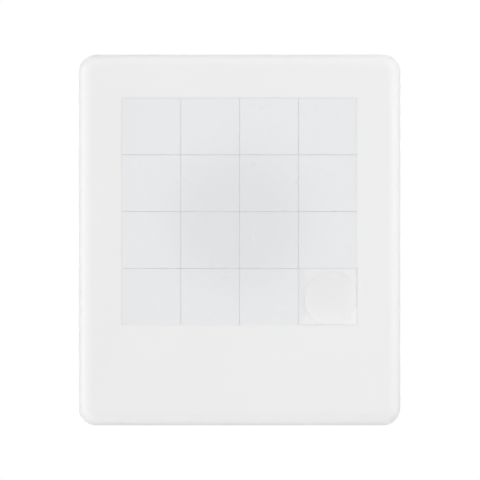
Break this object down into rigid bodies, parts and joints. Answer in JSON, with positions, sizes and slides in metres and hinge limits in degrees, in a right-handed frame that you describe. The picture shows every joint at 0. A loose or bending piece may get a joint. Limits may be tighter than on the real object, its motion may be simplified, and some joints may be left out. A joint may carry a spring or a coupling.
{
  "type": "sliding puzzle",
  "caption": "Flat white pocket sliding puzzle: blank interlocking tiles slide in a rounded hollow frame, with an empty cell at the bottom right and a shallow ring groove in its floor.",
  "frame": {"origin": "middle of the back, on the plane that the puzzle rests on", "axes": "+X to the right and +Y to the top edge as the player sees the face, +Z out of the face"},
  "size_m": [0.072, 0.083, 0.0064],
  "materials": {
    "case_plastic": "satin white moulding",
    "tile_plastic": "smooth semi-gloss white moulding"
  },
  "bodies": {
    "case": {"front_frame": "case_plastic", "back_plate": "case_plastic"},
    "tile_01": {"tile_01": "tile_plastic"},
    "tile_02": {"tile_02": "tile_plastic"},
    "tile_03": {"tile_03": "tile_plastic"},
    "tile_04": {"tile_04": "tile_plastic"},
    "tile_05": {"tile_05": "tile_plastic"},
    "tile_06": {"tile_06": "tile_plastic"},
    "tile_07": {"tile_07": "tile_plastic"},
    "tile_08": {"tile_08": "tile_plastic"},
    "tile_09": {"tile_09": "tile_plastic"},
    "tile_10": {"tile_10": "tile_plastic"},
    "tile_11": {"tile_11": "tile_plastic"},
    "tile_12": {"tile_12": "tile_plastic"},
    "tile_13": {"tile_13": "tile_plastic"},
    "tile_14": {"tile_14": "tile_plastic"},
    "tile_15": {"tile_15": "tile_plastic"}
  },
  "joints": [
    {"name": "tile_12_slide", "type": "slide", "parent": "case", "child": "tile_12", "axis": [0, -1, 0], "range_m": [0, 0.0127]},
    {"name": "tile_08_slide", "type": "slide", "parent": "case", "child": "tile_08", "axis": [0, -1, 0], "range_m": [0, 0.0127]},
    {"name": "tile_04_slide", "type": "slide", "parent": "case", "child": "tile_04", "axis": [0, -1, 0], "range_m": [0, 0.0127]},
    {"name": "tile_15_slide", "type": "slide", "parent": "case", "child": "tile_15", "axis": [-1, 0, 0], "range_m": [-0.01315, 0]},
    {"name": "tile_14_slide", "type": "slide", "parent": "case", "child": "tile_14", "axis": [-1, 0, 0], "range_m": [-0.01315, 0]},
    {"name": "tile_13_slide", "type": "slide", "parent": "case", "child": "tile_13", "axis": [-1, 0, 0], "range_m": [-0.01315, 0]},
    {"name": "tile_03_slide", "type": "slide", "parent": "case", "child": "tile_03", "axis": [1, 0, 0], "range_m": [-0.00003, 0.00003]},
    {"name": "tile_02_slide", "type": "slide", "parent": "case", "child": "tile_02", "axis": [1, 0, 0], "range_m": [-0.00003, 0.00003]},
    {"name": "tile_01_slide", "type": "slide", "parent": "case", "child": "tile_01", "axis": [1, 0, 0], "range_m": [-0.00003, 0.00003]},
    {"name": "tile_07_slide", "type": "slide", "parent": "case", "child": "tile_07", "axis": [1, 0, 0], "range_m": [-0.00003, 0.00003]},
    {"name": "tile_06_slide", "type": "slide", "parent": "case", "child": "tile_06", "axis": [1, 0, 0], "range_m": [-0.00003, 0.00003]},
    {"name": "tile_05_slide", "type": "slide", "parent": "case", "child": "tile_05", "axis": [1, 0, 0], "range_m": [-0.00003, 0.00003]},
    {"name": "tile_11_slide", "type": "slide", "parent": "case", "child": "tile_11", "axis": [1, 0, 0], "range_m": [-0.00003, 0.00003]},
    {"name": "tile_10_slide", "type": "slide", "parent": "case", "child": "tile_10", "axis": [1, 0, 0], "range_m": [-0.00003, 0.00003]},
    {"name": "tile_09_slide", "type": "slide", "parent": "case", "child": "tile_09", "axis": [1, 0, 0], "range_m": [-0.00003, 0.00003]}
  ],
  "couplings": [
    {"joint": "tile_08_slide", "follows": "tile_12_slide", "ratio": 1},
    {"joint": "tile_04_slide", "follows": "tile_12_slide", "ratio": 1},
    {"joint": "tile_14_slide", "follows": "tile_15_slide", "ratio": 1},
    {"joint": "tile_13_slide", "follows": "tile_15_slide", "ratio": 1},
    {"joint": "tile_02_slide", "follows": "tile_03_slide", "ratio": 1},
    {"joint": "tile_01_slide", "follows": "tile_03_slide", "ratio": 1},
    {"joint": "tile_06_slide", "follows": "tile_07_slide", "ratio": 1},
    {"joint": "tile_05_slide", "follows": "tile_07_slide", "ratio": 1},
    {"joint": "tile_10_slide", "follows": "tile_11_slide", "ratio": 1},
    {"joint": "tile_09_slide", "follows": "tile_11_slide", "ratio": 1}
  ]
}
